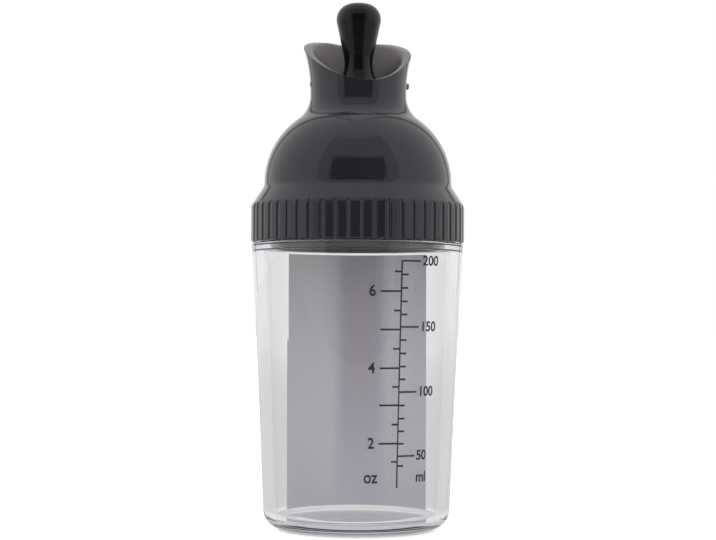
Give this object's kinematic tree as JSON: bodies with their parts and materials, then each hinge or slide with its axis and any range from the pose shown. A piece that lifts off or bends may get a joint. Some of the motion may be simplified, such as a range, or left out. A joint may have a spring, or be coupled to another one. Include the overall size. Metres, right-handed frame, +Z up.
{
  "type": "salad dressing shaker bottle",
  "caption": "Clear tapered shaker with a screw-on domed lid and a slanted pouring spout, closed by a stopper on an upright lever.",
  "frame": {"origin": "centre of the foot ring, on the surface that the bottle stands on", "axes": "+Z up along the bottle's axis, +Y towards the pouring lip, +X along the stopper's pivot pin"},
  "size_m": [0.068, 0.068, 0.1681],
  "materials": {
    "clear_plastic": "clear, polished",
    "charcoal_plastic": "glossy",
    "lid_silicone": "matt",
    "black_plastic": "glossy",
    "seal_silicone": "matt",
    "pin_steel": "satin",
    "card": "matt"
  },
  "bodies": {
    "bottle_body": {"bottle": "clear_plastic", "paper_insert": "card"},
    "gasket_body": {"lid_gasket": "lid_silicone"},
    "lid_body": {"lid": "charcoal_plastic", "pivot_pin": "pin_steel"},
    "stopper_body": {"stopper_lever": "black_plastic", "stopper_seal": "seal_silicone"}
  },
  "joints": [
    {"name": "lid_lift", "type": "slide", "parent": "bottle_body", "child": "gasket_body", "axis": [0, 0, 1], "range_m": [0, 0.0106]},
    {"name": "lid_unscrew", "type": "hinge", "parent": "gasket_body", "child": "lid_body", "pos_m": [0, 0, 0.104], "axis": [0, 0, 1], "range_deg": [0, 900]},
    {"name": "lever_flip", "type": "hinge", "parent": "lid_body", "child": "stopper_body", "pos_m": [0, 0, 0.14184], "axis": [1, 0, 0], "range_deg": [0, 60]}
  ],
  "couplings": [
    {"joint": "lid_lift", "follows": "lid_unscrew", "m_per_rad": 0.00066845}
  ]
}
